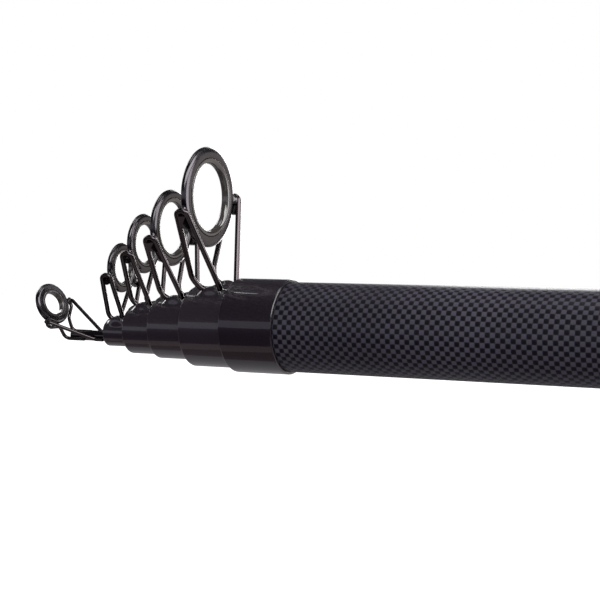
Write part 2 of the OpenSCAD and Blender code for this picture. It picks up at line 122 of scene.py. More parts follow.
def add_node(
    tree: NodeTree,
    kind: str,
    inputs: Mapping[Any, Any] | None = None,
    feeds: NodeSocket | None = None,
    **settings: Any,
) -> Node:
    """Add one node, set its properties, and link or set its sockets.

    Args:
        tree: The node tree that takes the node.
        kind: The node's type name, without the ShaderNode in front.
        inputs: Socket names or numbers, each with a socket to link or a value to set.
        feeds: A socket that takes the node's first output.
        **settings: Properties of the node.

    Returns:
        The new node.
    """
    node = tree.nodes.new(f"ShaderNode{kind}")
    for name, value in settings.items():
        setattr(node, name, value)
    for key, value in (inputs or {}).items():
        if isinstance(value, NodeSocket):
            tree.links.new(value, node.inputs[key])
        else:
            node.inputs[key].default_value = value
    if feeds is not None:
        tree.links.new(next(out for out in node.outputs if out.enabled), feeds)
    return node


def tube_coordinates(tree: NodeTree, axis_z: float = 0.0) -> tuple[NodeSocket, NodeSocket, NodeSocket]:
    """Give a surface its place on a tube that runs along X.

    Args:
        tree: The material's node tree.
        axis_z: Height of the tube's axis.

    Returns:
        Sockets with the point in millimetres, the distance along the tube, and the angle round it.
    """
    place = add_node(tree, "TexCoord").outputs["Object"]
    centred = {"Vector": place, "Location": (0.0, 0.0, -axis_z), "Scale": (1 / MM,) * 3}
    to_mm = add_node(tree, "Mapping", centred).outputs["Vector"]
    split = add_node(tree, "SeparateXYZ", {"Vector": to_mm})
    angle = add_node(tree, "Math", {0: split.outputs["Z"], 1: split.outputs["Y"]}, operation="ARCTAN2")
    return to_mm, split.outputs["X"], angle.outputs[0]


def ripple(tree: NodeTree, along: NodeSocket, frequency: float) -> NodeSocket:
    """Give a sine wave over a coordinate, with so many radians for each unit of it."""
    phase = add_node(tree, "Math", {0: along, 1: frequency}, operation="MULTIPLY")
    return add_node(tree, "Math", {0: phase.outputs[0]}, operation="SINE").outputs[0]


def patches(
    tree: NodeTree, place: NodeSocket, size: float, detail: float, low: float, high: float
) -> NodeSocket:
    """Give soft patches that vary between two values.

    Args:
        tree: The material's node tree.
        place: The point in millimetres.
        size: Size of a patch.
        detail: How many finer patches lie on it.
        low: Lowest value.
        high: Highest value.

    Returns:
        The socket.
    """
    noise = add_node(tree, "TexNoise", {"Vector": place, "Scale": 1 / size, "Detail": detail})
    middle = {"Value": noise.outputs["Fac"], "From Min": 0.3, "From Max": 0.7}
    return add_node(tree, "MapRange", {**middle, "To Min": low, "To Max": high}).outputs[0]


@dataclass(frozen=True)
class Finish:
    """A surface finish: one named material with its colour, gloss and pattern."""

    name: str  # the real material's
    colour: str  # base colour as sRGB hex
    roughness: float
    metallic: float = 0.0
    ior: float = 1.5
    specular: float = 0.5  # strength of the base's own shine
    coat: float = 0.0  # weight of a clear coat
    coat_roughness: float = 0.03

    def material(self) -> Material:
        """Make the material, with its pattern.

        Returns:
            The material.
        """
        made = bpy.data.materials.new(self.name)
        made.use_nodes = True
        shader = made.node_tree.nodes["Principled BSDF"]
        even = {
            "Base Color": linear(self.colour),
            "Roughness": self.roughness,
            "Metallic": self.metallic,
            "IOR": self.ior,
            "Specular IOR Level": self.specular,
            "Coat Weight": self.coat,
            "Coat Roughness": self.coat_roughness,
        }
        for socket, value in even.items():
            shader.inputs[socket].default_value = value
        self.pattern(made.node_tree, shader)
        return made

    def pattern(self, tree: NodeTree, shader: Node) -> None:
        """Add what varies over the surface; a plain finish has nothing.

        Args:
            tree: The material's node tree.
            shader: Its Principled shader.
        """


@dataclass(frozen=True)
class WovenCarbon(Finish):
    """Plain-weave carbon cloth rolled round a tube and sealed in clear epoxy.

    The eye sees a chessboard of fibre bundles, under a smooth gloss. Those that catch the light are drawn as
    a pale painted sheen in the base colour, and those that lie across it stay dark.
    """

    # colour of the painted sheen on the checks whose fibres catch the light
    pale: str = "#504c5a"
    check: float = 1.2
    checks_round: int = 58
    edge: float = 0.34
    patch: float = 26.0
    patch_share: float = 0.35
    patch_detail: float = 2.0
    tow_depth: float = 0.05

    def pattern(self, tree: NodeTree, shader: Node) -> None:
        """Weave the chessboard from two waves, one along the tube and one round it, and paint the sheen of
        every other check into the colour.

        Args:
            tree: The material's node tree.
            shader: Its Principled shader.
        """
        place, along, angle = tube_coordinates(tree)
        rows = ripple(tree, along, math.pi / self.check)
        columns = ripple(tree, angle, self.checks_round / 2)
        weave = add_node(tree, "Math", {0: rows, 1: columns}, operation="MULTIPLY").outputs[0]
        edges = {"Value": weave, "From Min": -self.edge, "From Max": self.edge}
        checks = add_node(tree, "MapRange", edges, interpolation_type="SMOOTHSTEP").outputs[0]
        dimmed = patches(tree, place, self.patch, self.patch_detail, 1 - self.patch_share, 1.0)
        share = add_node(tree, "Math", {0: checks, 1: dimmed}, operation="MULTIPLY").outputs[0]
        # Painted sheen: every other check takes the pale colour of the light that its fibres catch, dimmed in
        # soft random patches
        painted_sheen_mix = {"Factor": share, "A": linear(self.colour), "B": linear(self.pale)}
        add_node(tree, "Mix", painted_sheen_mix, shader.inputs["Base Color"], data_type="RGBA")
        crown = add_node(tree, "Math", {0: weave}, operation="ABSOLUTE").outputs[0]
        add_node(tree, "Bump", {"Height": crown, "Distance": self.tow_depth * MM}, shader.inputs["Normal"])


@dataclass(frozen=True)
class TapedCarbon(Finish):
    """Carbon tube as it leaves the oven, with the faint spiral that the shrink tape leaves in the resin.

    The eye sees black gloss with fine slanting ridges.
    """

    axis_z: float = 0.0
    pitch: float = 3.0
    ridge: float = 0.04

    def pattern(self, tree: NodeTree, shader: Node) -> None:
        """Run one ridge round the tube in a spiral.

        Args:
            tree: The material's node tree.
            shader: Its Principled shader.
        """
        _, along, angle = tube_coordinates(tree, self.axis_z)
        turns = add_node(tree, "Math", {0: angle, 1: 2 * math.pi}, operation="DIVIDE").outputs[0]
        pitches = add_node(tree, "Math", {0: along, 1: self.pitch}, operation="DIVIDE").outputs[0]
        spiral = add_node(tree, "Math", {0: turns, 1: pitches}, operation="ADD").outputs[0]
        ridge = add_node(tree, "Math", {0: spiral, 1: 1.0}, operation="PINGPONG").outputs[0]
        add_node(tree, "Bump", {"Height": ridge, "Distance": self.ridge * MM}, shader.inputs["Normal"])


@dataclass(frozen=True)
class FineRings(Finish):
    """A surface with fine even rings round the rod, as a lathe's tool leaves them on aluminium.

    The eye sees each highlight stretched across the rings.
    """

    spacing: float = 0.6
    depth: float = 0.01

    def pattern(self, tree: NodeTree, shader: Node) -> None:
        """Raise the rings.

        Args:
            tree: The material's node tree.
            shader: Its Principled shader.
        """
        _, along, _ = tube_coordinates(tree)
        rings = ripple(tree, along, 2 * math.pi / self.spacing)
        add_node(tree, "Bump", {"Height": rings, "Distance": self.depth * MM}, shader.inputs["Normal"])


@dataclass(frozen=True)
class ThreadLacquer(FineRings):
    """Black nylon thread wound edge to edge and flooded with clear lacquer.

    The eye sees deep gloss with a violet cast, over thread lines that only show in a highlight. The
    real thread is 0.2 mm thick, and is drawn coarser so that it can show.
    """

    spacing: float = 0.4
    depth: float = 0.012
    wave: float = 9.0
    wave_depth: float = 0.05
    wave_detail: float = 1.0

    def pattern(self, tree: NodeTree, shader: Node) -> None:
        """Lay the threads side by side, and let the lacquer over them wander a little.

        Args:
            tree: The material's node tree.
            shader: Its Principled shader.
        """
        super().pattern(tree, shader)
        place, _, _ = tube_coordinates(tree)
        flow = {"Vector": place, "Scale": 1 / self.wave, "Detail": self.wave_detail}
        waves = {"Height": add_node(tree, "TexNoise", flow).outputs["Fac"], "Distance": self.wave_depth * MM}
        add_node(tree, "Bump", waves, shader.inputs["Coat Normal"])


@dataclass(frozen=True)
class FineGrain(Finish):
    """A surface with a fine even grain, as a spark-eroded mould leaves it on plastic and rubber.

    The eye sees an even matt surface that breaks up each highlight.
    """

    grain: float = 0.45
    grain_depth: float = 0.03
    grain_detail: float = 3.0

    def pattern(self, tree: NodeTree, shader: Node) -> None:
        """Raise the grain, if there is any.

        Args:
            tree: The material's node tree.
            shader: Its Principled shader.
        """
        if not self.grain_depth:
            return
        place, _, _ = tube_coordinates(tree)
        fine = {"Vector": place, "Scale": 1 / self.grain, "Detail": self.grain_detail}
        grain = add_node(tree, "TexNoise", fine).outputs["Fac"]
        add_node(tree, "Bump", {"Height": grain, "Distance": self.grain_depth * MM}, shader.inputs["Normal"])


@dataclass(frozen=True)
class SatinSheen(FineGrain):
    """Plated or anodised metal, or polished ceramic, with a very fine grain or none.

    The eye sees a soft dark sheen that varies slightly, as the ground surface under it does.
    """

    grain: float = 0.5
    grain_depth: float = 0.006
    grain_detail: float = 2.0
    patch: float = 7.0
    patch_detail: float = 3.0
    roughness_spread: float = 0.08

    def pattern(self, tree: NodeTree, shader: Node) -> None:
        """Raise the grain, and vary the gloss in patches.

        Args:
            tree: The material's node tree.
            shader: Its Principled shader.
        """
        super().pattern(tree, shader)
        place, _, _ = tube_coordinates(tree)
        low, high = self.roughness - self.roughness_spread, self.roughness + self.roughness_spread
        gloss = patches(tree, place, self.patch, self.patch_detail, low, high)
        tree.links.new(gloss, shader.inputs["Roughness"])


@dataclass(frozen=True)
class CellFoam(Finish):
    """Closed-cell foam, ground to size.

    The eye sees a matt skin of cut cells, with slightly paler and darker patches.
    """

    pale: str = "#313135"
    cell: float = 0.9
    cell_depth: float = 0.12
    patch: float = 12.0
    patch_detail: float = 6.0

    def pattern(self, tree: NodeTree, shader: Node) -> None:
        """Cut the cells open and mottle the colour.

        Args:
            tree: The material's node tree.
            shader: Its Principled shader.
        """
        place, _, _ = tube_coordinates(tree)
        cells = add_node(tree, "TexVoronoi", {"Vector": place, "Scale": 1 / self.cell}).outputs["Distance"]
        add_node(tree, "Bump", {"Height": cells, "Distance": self.cell_depth * MM}, shader.inputs["Normal"])
        coarse = {"Vector": place, "Scale": 1 / self.patch, "Detail": self.patch_detail}
        share = add_node(tree, "TexNoise", coarse).outputs["Fac"]
        skin = {"Factor": share, "A": linear(self.colour), "B": linear(self.pale)}
        add_node(tree, "Mix", skin, shader.inputs["Base Color"], data_type="RGBA")


class Slot(Enum):
    """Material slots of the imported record."""

    CARBON = "carbon"
    LACQUER = "lacquer"
    WIRE = "wire"
    RING_FRAME = "ring_frame"
    RING_INSERT = "ring_insert"
    FOAM = "foam"
    SEAT = "seat"
    HOOD = "hood"
    CAP_METAL = "cap_metal"
    RUBBER = "rubber"


FINISHES: dict[Slot, Finish] = {
    Slot.CARBON: WovenCarbon(
        "plain weave carbon in epoxy with painted sheen", "#100d17", 0.5, specular=0.1, coat=0.22, coat_roughness=0.3
    ),
    Slot.LACQUER: ThreadLacquer("thread under clear lacquer", "#231925", 0.32, coat=1.0, coat_roughness=0.04),
    Slot.WIRE: SatinSheen("black nickel on steel wire", "#504a4c", 0.16, metallic=1.0, grain_depth=0.0015),
    Slot.RING_FRAME: SatinSheen("gunmetal plated steel", "#504d50", 0.2, metallic=1.0, grain_depth=0.0015),
    Slot.RING_INSERT: SatinSheen("polished grey ceramic", "#4a4543", 0.12, ior=1.9, grain_depth=0.0),
    Slot.FOAM: CellFoam("closed cell foam", "#202023", 0.9),
    Slot.SEAT: FineGrain("moulded nylon", "#17171a", 0.45),
    Slot.HOOD: SatinSheen("blasted and anodised aluminium", "#8c878c", 0.34, metallic=1.0),
    Slot.CAP_METAL: FineRings("turned and anodised aluminium", "#8c878c", 0.3, metallic=1.0),
    Slot.RUBBER: FineGrain("moulded rubber", "#141415", 0.7, grain=0.7, grain_depth=0.05),
}

# The butt's binding has a thicker flood of lacquer, and the inner tubes have no woven layer
THICK_LACQUER = replace(
    FINISHES[Slot.LACQUER], name="thread under thick lacquer", colour="#1b101d", specular=0.3
)
BARE_CARBON = TapedCarbon("taped carbon tube", "#0d0c11", 0.3, coat=0.6, coat_roughness=0.05)


@dataclass
class Paintbox:
    """Makes each finish's material once and hands it out."""

    made: dict[Finish, Material] = field(default_factory=dict)

    def of(self, finish: Finish) -> Material:
        """Give the material of a finish, made when it is first asked for."""
        return self.made.get(finish) or self.made.setdefault(finish, finish.material())

    def dress(self, piece: Object, finish: Finish) -> None:
        """Put a finish on a piece, in place of what it has."""
        piece.data.materials.clear()
        piece.data.materials.append(self.of(finish))


@dataclass(frozen=True)
class Corner:
    """One corner of a turned outline: its place along the axis, its radius and its rounding."""

    x: float
    r: float
    rounding: float = 0.0


def sleeve(
    start: float,
    stop: float,
    bores: tuple[float, float],
    outer: float,
    rounding: float = 0.0,
    lip: float = 0.0,
) -> list[Corner]:
    """Give the outline of a sleeve round the X axis.

    Args:
        start: Where the sleeve starts.
        stop: Where it ends.
        bores: Radius of its hole at the start and at the end.
        outer: Its outer radius.
        rounding: Rounding of its outer edges.
        lip: Rounding of its hole's edges.

    Returns:
        The outline's corners in order.
    """
    outside = [Corner(start, outer, rounding), Corner(stop, outer, rounding)]
    return [Corner(start, bores[0], lip), *outside, Corner(stop, bores[1], lip)]


def turn_outline(
    bm: BMesh, corners: Sequence[Corner], steps: int, fine: float = 0.0, rounds: int = 5
) -> None:
    """Turn a closed outline into a ring round the X axis.

    Args:
        bm: The mesh that takes the ring.
        corners: The outline's corners in order.
        steps: Faces round the axis.
        fine: Longest face along the outline's longest edges, or zero to leave the edges whole.
        rounds: Faces round each rounded corner.
    """
    verts = [bm.verts.new((c.x * MM, 0.0, c.r * MM)) for c in corners]
    for pair in zip(verts, verts[1:] + verts[:1]):
        bm.edges.new(pair)
    round_off = {"offset_type": "OFFSET", "profile": 0.5, "affect": "VERTICES", "material": -1}
    for vert, corner in zip(verts, corners):
        if corner.rounding:
            bmesh.ops.bevel(bm, geom=[vert], offset=corner.rounding * MM, segments=rounds, **round_off)
    if fine:
        longest = max(e.calc_length() for e in bm.edges if not e.link_faces)
        runs = [e for e in bm.edges if not e.link_faces and e.calc_length() > longest / 2]
        bmesh.ops.subdivide_edges(bm, edges=runs, cuts=int(longest / (fine * MM)))
    outline = [v for v in bm.verts if not v.link_faces] + [e for e in bm.edges if not e.link_faces]
    turn = {"cent": ORIGIN, "axis": X_AXIS, "angle": 2 * math.pi}
    bmesh.ops.spin(bm, geom=outline, steps=steps, use_merge=True, **turn)


def clear_behind(bm: BMesh, place: Vector, facing: Vector) -> None:
    """Cut away what lies behind a plane, which goes through a point in metres and faces a direction."""
    everything = bm.verts[:] + bm.edges[:] + bm.faces[:]
    bmesh.ops.bisect_plane(bm, geom=everything, plane_co=place, plane_no=facing, clear_inner=True)


def cut_flat(bm: BMesh, faces: Sequence[BMFace], height: float) -> None:
    """Cut a solid flat at a height over the axis, and close the cut.

    Args:
        bm: The mesh that holds the solid.
        faces: The solid's faces.
        height: Height of the flat.
    """
    solid = dict.fromkeys(part for f in faces for part in (*f.verts, *f.edges, f))
    place = Z_AXIS * height * MM
    bmesh.ops.bisect_plane(bm, geom=list(solid), plane_co=place, plane_no=Z_AXIS, clear_outer=True)
    bmesh.ops.holes_fill(bm, edges=[e for e in bm.edges if e.is_boundary], sides=0)


@dataclass
class ThreadedSleeve:
    """A sleeve with a right-hand thread on its outside."""

    start: float  # where the sleeve starts along X
    stop: float  # where it ends
    radius: float  # over the thread's crests
    bore: float  # radius of the hole
    pitch: float  # distance from crest to crest
    depth: float  # of the groove
    crest_end: float = 0.4  # where a crest ends, as a share of the pitch
    root_start: float = 0.65  # where the groove's bottom starts, as such a share
    root_end: float = 0.75  # where it ends
    spare_turns: int = 2  # turns that are cut off again at the ends
    faces_round: int = 40  # faces in a turn
    merge_share: float = 0.002  # points closer than this share of the pitch are one

    def build(self, bm: BMesh) -> None:
        """Wind the thread, cut its ends off square, and close the sleeve.

        Args:
            bm: The mesh that takes the sleeve, empty so far.
        """
        turns = math.ceil((self.stop - self.start) / self.pitch) + self.spare_turns
        shares = (0.0, self.crest_end, self.root_start, self.root_end, 1.0)
        depths = (0.0, 0.0, self.depth, self.depth, 0.0)
        verts = [
            bm.verts.new(((self.start + (share - 1) * self.pitch) * MM, 0.0, (self.radius - depth) * MM))
            for share, depth in zip(shares, depths)
        ]
        bmesh.ops.spin(
            bm,
            geom=verts + [bm.edges.new(pair) for pair in zip(verts, verts[1:])],
            cent=ORIGIN,
            axis=X_AXIS,
            dvec=X_AXIS * self.pitch * MM / self.faces_round,
            angle=2 * math.pi * turns,
            steps=self.faces_round * turns,
        )
        bmesh.ops.remove_doubles(bm, verts=bm.verts[:], dist=self.merge_share * self.pitch * MM)
        for place, facing in ((self.start, X_AXIS), (self.stop, -X_AXIS)):
            clear_behind(bm, X_AXIS * place * MM, facing)
        rims = [e for e in bm.edges if e.is_boundary]
        inward = bmesh.ops.extrude_edge_only(bm, edges=rims)["geom"]
        for vert in (g for g in inward if isinstance(g, BMVert)):
            vert.co.yz = vert.co.yz.normalized() * self.bore * MM
        bmesh.ops.bridge_loops(bm, edges=[g for g in inward if isinstance(g, BMEdge) and g.is_boundary])


@dataclass
class BentWire:
    """A round wire that runs straight between its corners and has a bend at each."""

    corners: Sequence[Vector]  # where the straights would meet, with the two ends
    radii: Sequence[float]  # bend radius at each inner corner
    diameter: float
    sides: int = 20  # faces round the wire
    degrees_per_step: float = 7.0  # angle of a face along a bend

    def build(self, bm: BMesh) -> None:
        """Bend the wire: extrude each straight and spin each bend.

        Args:
            bm: The mesh that takes the wire.
        """
        here = self.corners[0]
        turn = Z_AXIS.rotation_difference((self.corners[1] - here).normalized()).to_matrix().to_4x4()
        made = bmesh.ops.create_circle(
            bm,
            cap_ends=True,
            radius=self.diameter / 2 * MM,
            segments=self.sides,
            matrix=Matrix.Translation(here * MM) @ turn,
        )
        loop = list(dict.fromkeys(e for v in made["verts"] for e in v.link_edges))
        for before, corner, after, radius in zip(
            self.corners, self.corners[1:], self.corners[2:], self.radii
        ):
            back = (before - corner).normalized()
            ahead = (after - corner).normalized()
            half = back.angle(ahead) / 2
            start = corner + back * radius / math.tan(half)
            centre = corner + (back + ahead).normalized() * radius / math.sin(half)
            loop = self.straight(bm, loop, start - here)
            bend = math.pi - 2 * half
            spun = bmesh.ops.spin(
                bm,
                geom=loop,
                cent=centre * MM,
                axis=(-back).cross(ahead).normalized(),
                angle=bend,
                steps=max(2, round(math.degrees(bend) / self.degrees_per_step)),
            )
            loop = [g for g in spun["geom_last"] if isinstance(g, BMEdge)]
            here = corner + ahead * radius / math.tan(half)
        loop = self.straight(bm, loop, self.corners[-1] - here)
        bmesh.ops.contextual_create(bm, geom=loop)

    def straight(self, bm: BMesh, loop: list[BMEdge], by: Vector) -> list[BMEdge]:
        """Extrude the wire's open end.

        Args:
            bm: The mesh that holds the wire.
            loop: Edges of the open end.
            by: How far and which way.

        Returns:
            Edges of the new open end.
        """
        grown = bmesh.ops.extrude_edge_only(bm, edges=loop)["geom"]
        ends = {g for g in grown if isinstance(g, BMVert)}
        bmesh.ops.translate(bm, verts=list(ends), vec=by * MM)
        return [g for g in grown if isinstance(g, BMEdge) and set(g.verts) <= ends]


def mesh_piece(bm: BMesh, name: str, material: Material) -> Object:
    """Make an object of a finished mesh and put it in the scene.

    Args:
        bm: The mesh, which is freed.
        name: The object's name.
        material: Its material.

    Returns:
        The new object.
    """
    mesh = bpy.data.meshes.new(name)
    bm.to_mesh(mesh)
    bm.free()
    mesh.materials.append(material)
    piece = bpy.data.objects.new(name, mesh)
    bpy.context.scene.collection.objects.link(piece)
    return piece


@dataclass
class Assembly(ABC):
    """What the sub-assemblies share: the frame, the paints, and how a piece is handed over."""

    frame: Mapping[str, Any]
    paints: Paintbox
    slots: dict[str, str] = field(init=False)  # material slot of each CAD node
    bodies: dict[str, str] = field(init=False)  # moving body of each CAD node

    def __post_init__(self) -> None:
        """Read the slots and the bodies from the frame's record."""
        record = self.frame["record"]
        self.slots = {row["node"]: row["material_slot"] for row in record["subparts"]}
        self.bodies = {n: body for body, nodes in record["behaviour"]["bodies"].items() for n in nodes}

    @abstractmethod
    def build(self) -> None:
        """Make the sub-assembly's pieces."""

    def keep(self, *nodes: str, finish: Finish | None = None) -> None:
        """Keep CAD nodes as they are and give them their finish.

        Args:
            *nodes: Names of the nodes.
            finish: A finish other than the slot's own.
        """
        for node in nodes:
            self.paints.dress(self.frame["nodes"][node], finish or FINISHES[Slot(self.slots[node])])
            LOG.info("kept %s", node)

    def hand_over(self, bm: BMesh, name: str, node: str, place: Matrix | None = None) -> Object:
        """Make a piece of a finished mesh, in place of a CAD node.

        Args:
            bm: The mesh, which is freed.
            name: The piece's name.
            node: The CAD node that it stands for.
            place: Turn and shift that put the mesh where it belongs.

        Returns:
            The new object.
        """
        if place is not None:
            bmesh.ops.transform(bm, matrix=place, verts=bm.verts[:])
        bmesh.ops.recalc_face_normals(bm, faces=bm.faces[:])
        slot = self.slots[node]
        piece = mesh_piece(bm, name, self.paints.of(FINISHES[Slot(slot)]))
        piece.data.shade_smooth()
        piece.data.set_sharp_from_angle(angle=math.radians(CREASE))
        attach(piece, self.bodies[node])
        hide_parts(node)
        LOG.info("made %s for %s", name, node)
        return piece


@dataclass(frozen=True)
class Tube:
    """One tapered tube of the rod, read from its node's box."""

    front: float  # place of its mouth
    axis_z: float  # height of its axis
    mouth_r: float  # outer radius at the mouth
    taper: float  # growth of the radius per millimetre towards the butt

    @classmethod
    def read(cls, node: str, taper: float) -> Tube:
        """Read a tube from the frame.

        Args:
            node: The tube's node.
            taper: Its taper.

        Returns:
            The tube.
        """
        low, high = box_mm(node)
        rear_r = (high.z - low.z) / 2
        return cls(high.x, (high.z + low.z) / 2, rear_r - taper * (high.x - low.x), taper)

    def radius(self, x: float) -> float:
        """Give the outer radius at a place along the rod."""
        return self.mouth_r + self.taper * (self.front - x)


@dataclass(frozen=True)
class GuideSize:
    """Sizes of one guide's ring and of its two wire loops."""

    wire: float  # thickness of the wire
    toe_back: float  # distance of the front foot behind the mouth
    heel_in: float  # distance of the rear foot in front of the binding's rear edge
    foot_angle: float  # angle of the feet from the top of the tube
    toe_bend: float  # bend radius at the front foot
    heel_bend: float  # bend radius at the rear foot
    top_bend: float  # bend radius at the top
    bend_drop: float  # distance of the top bend's centre below the ring's centre
    hole: float  # radius of the hole in the ring
    bend_out: float = 0.5  # distance of the top bend's centre outside the ring


# By the number of the section, in the order of GuideSize
GUIDES: dict[int, GuideSize] = {
    2: GuideSize(1.4, 2.2, 2.1, 21.5, 4.8, 1.1, 1.5, 2.8, 8.2),
    3: GuideSize(1.3, 2.4, 1.5, 25.5, 3.6, 1.0, 1.5, 2.8, 6.45),
    4: GuideSize(1.25, 1.3, 1.5, 24.0, 3.0, 0.9, 1.4, 3.4, 4.8),
    5: GuideSize(1.2, 1.3, 1.6, 37.0, 2.3, 0.8, 1.3, 3.4, 3.9),
}


@dataclass
class Guide:
    """A ring guide on a section's mouth: its sizes, and its place as the frame gives it."""

    number: int  # of the section
    tube: Tube
    size: GuideSize
    insert_half: float = field(init=False)  # half the thickness of the insert
    insert_r: float = field(init=False)  # outer radius of the insert
    ring_back: float = field(init=False)  # distance of the ring's centre behind the mouth
    ring_h: float = field(init=False)  # height of the ring's centre over the tube's axis
    ring_r: float = field(init=False)  # outer radius of the ring
    turn: float = field(init=False)  # angle round the tube, in radians
    length: float = field(init=False)  # length of the binding

    def __post_init__(self) -> None:
        """Read the ring and the binding from the frame."""
        low, high = box_mm(f"guide_insert_{self.number}")
        self.insert_half = (high.x - low.x) / 2
        self.insert_r = (high.z - low.z) / 2
        centre = (low + high) / 2
        self.ring_back = self.tube.front - centre.x
        self.ring_h = math.hypot(centre.y, centre.z - self.tube.axis_z)
        self.turn = math.atan2(centre.y, centre.z - self.tube.axis_z)
        self.ring_r = box_mm(f"guide_ring_{self.number}")[1].z - centre.z
        rear, front = box_mm(f"wrap_{self.number}")
        self.length = front.x - rear.x

    @property
    def heel_back(self) -> float:
        """Distance of the rear foot behind the mouth."""
        return self.length - self.size.heel_in

    @property
    def foot_r(self) -> float:
        """Distance of the wire's centre line from the tube's axis at the feet."""
        return self.tube.mouth_r + 2 * BOND + UNDERWRAP + self.size.wire / 2

    def placed(self) -> Matrix:
        """Give the turn and shift that put the guide on its section, in metres."""
        shift = Vector((self.tube.front, 0.0, self.tube.axis_z)) * MM
        return Matrix.Translation(shift) @ Matrix.Rotation(-self.turn, 4, "X")

    def ring_placed(self) -> Matrix:
        """Give the turn and shift that put the ring in its place, in metres."""
        return self.placed() @ Matrix.Translation(Vector((-self.ring_back, 0.0, self.ring_h)) * MM)

    def foot(self, side: Side, back: float) -> Vector:
        """Give a point on a foot's centre line, some way behind the mouth, in the guide's own frame."""
        angle = math.radians(self.size.foot_angle)
        return Vector((-back, side * self.foot_r * math.sin(angle), self.foot_r * math.cos(angle)))

    def loop(self, side: Side) -> BentWire:
        """Lay out one wire loop, whose ends meet under the binding.

        Args:
            side: The side of the rod that it stands on.

        Returns:
            The wire, in the guide's own frame.
        """
        size = self.size
        toe = self.foot(side, size.toe_back)
        heel = self.foot(side, self.heel_back)
        run = self.heel_back - size.toe_back
        converge = run / (run - 2 * size.top_bend)
        out, up = self.ring_r + size.bend_out, self.ring_h - size.bend_drop
        top = Vector((size.top_bend - self.ring_back, side * out, up))
        apex = toe + (top - toe) * converge
        toe_end = size.toe_back + size.toe_bend / math.tan((heel - toe).angle(apex - toe) / 2)
        heel_end = self.heel_back - size.heel_bend / math.tan((toe - heel).angle(apex - heel) / 2)
        join = (toe_end + heel_end) / 2
        ends = [self.foot(side, join + gap) for gap in (-END_GAP / 2, END_GAP / 2)]
        bends = [size.toe_bend, size.top_bend, size.heel_bend]
        return BentWire([ends[0], toe, apex, heel, ends[1]], bends, size.wire)


